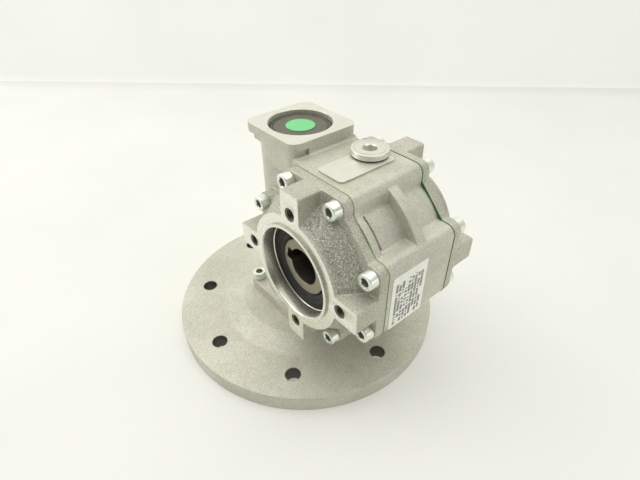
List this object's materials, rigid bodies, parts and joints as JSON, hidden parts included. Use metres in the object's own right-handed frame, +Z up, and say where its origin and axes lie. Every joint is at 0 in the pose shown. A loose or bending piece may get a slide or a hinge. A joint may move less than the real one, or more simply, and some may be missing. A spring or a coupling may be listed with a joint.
{
  "type": "right angle worm gearbox",
  "caption": "Right-angle worm gearbox with a round motor flange, a hollow input, a hollow keyed output shaft and bolted side covers.",
  "frame": {"origin": "centre of the bounding box, on the plane of the motor flange's face, which is the lowest plane; the worm axis is 2.75 mm towards -X of it", "axes": "+Z up along the worm and motor axis, away from the motor; the output axis is parallel to Y, 52 mm towards +X of the worm axis and 96.5 mm above the motor face"},
  "size_m": [0.2059, 0.2, 0.1588],
  "materials": {
    "cast_aluminium": "as cast, satin, machined where faces mate",
    "zinc_steel": "zinc plated",
    "gasket": "matte green sheet",
    "plug_metal": "turned",
    "rubber": "matte",
    "green_plastic": "matte",
    "plate": "satin label",
    "shaft_steel": "ground",
    "bearing_steel": "polished",
    "hub_iron": "turned",
    "bronze": "hobbed"
  },
  "bodies": {
    "housing": {"main_housing": "cast_aluminium", "motor_flange": "cast_aluminium", "front_cover": "cast_aluminium", "rear_cover": "cast_aluminium", "front_cover_bolt_1": "zinc_steel", "front_cover_bolt_2": "zinc_steel", "front_cover_bolt_3": "zinc_steel", "front_cover_bolt_4": "zinc_steel", "front_cover_bolt_5": "zinc_steel", "front_cover_bolt_6": "zinc_steel", "front_cover_bolt_7": "zinc_steel", "front_cover_bolt_8": "zinc_steel", "rear_cover_bolt_1": "zinc_steel", "rear_cover_bolt_2": "zinc_steel", "rear_cover_bolt_3": "zinc_steel", "rear_cover_bolt_4": "zinc_steel", "rear_cover_bolt_5": "zinc_steel", "rear_cover_bolt_6": "zinc_steel", "rear_cover_bolt_7": "zinc_steel", "rear_cover_bolt_8": "zinc_steel", "flange_bolt_1": "zinc_steel", "flange_bolt_2": "zinc_steel", "flange_bolt_3": "zinc_steel", "flange_bolt_4": "zinc_steel", "front_gasket": "gasket", "rear_gasket": "gasket", "oil_plug": "plug_metal", "oil_plug_washer": "rubber", "worm_end_cap": "rubber", "input_seal": "rubber", "front_output_seal": "rubber", "rear_output_seal": "rubber", "end_cap_disc": "green_plastic", "rating_plate": "plate", "lower_worm_bearing_outer": "bearing_steel", "lower_worm_bearing_balls": "bearing_steel", "upper_worm_bearing_outer": "bearing_steel", "upper_worm_bearing_balls": "bearing_steel", "front_output_bearing_outer": "bearing_steel", "front_output_bearing_balls": "bearing_steel", "rear_output_bearing_outer": "bearing_steel", "rear_output_bearing_balls": "bearing_steel"},
    "output": {"output_shaft": "shaft_steel", "wheel_hub": "hub_iron", "wheel_rim": "bronze", "wheel_key": "shaft_steel", "front_spacer_ring": "shaft_steel", "rear_spacer_ring": "shaft_steel", "front_output_bearing_inner": "bearing_steel", "rear_output_bearing_inner": "bearing_steel"},
    "worm": {"worm_shaft": "shaft_steel", "lower_worm_bearing_inner": "bearing_steel", "upper_worm_bearing_inner": "bearing_steel"}
  },
  "joints": [
    {"name": "output_spin", "type": "hinge", "parent": "housing", "child": "output", "pos_m": [0.04925, 0, 0.0965], "axis": [0, 1, 0], "continuous": true},
    {"name": "worm_spin", "type": "hinge", "parent": "housing", "child": "worm", "pos_m": [-0.00275, 0, 0.0965], "axis": [0, 0, 1], "continuous": true}
  ],
  "couplings": [
    {"joint": "worm_spin", "follows": "output_spin", "ratio": -25}
  ]
}
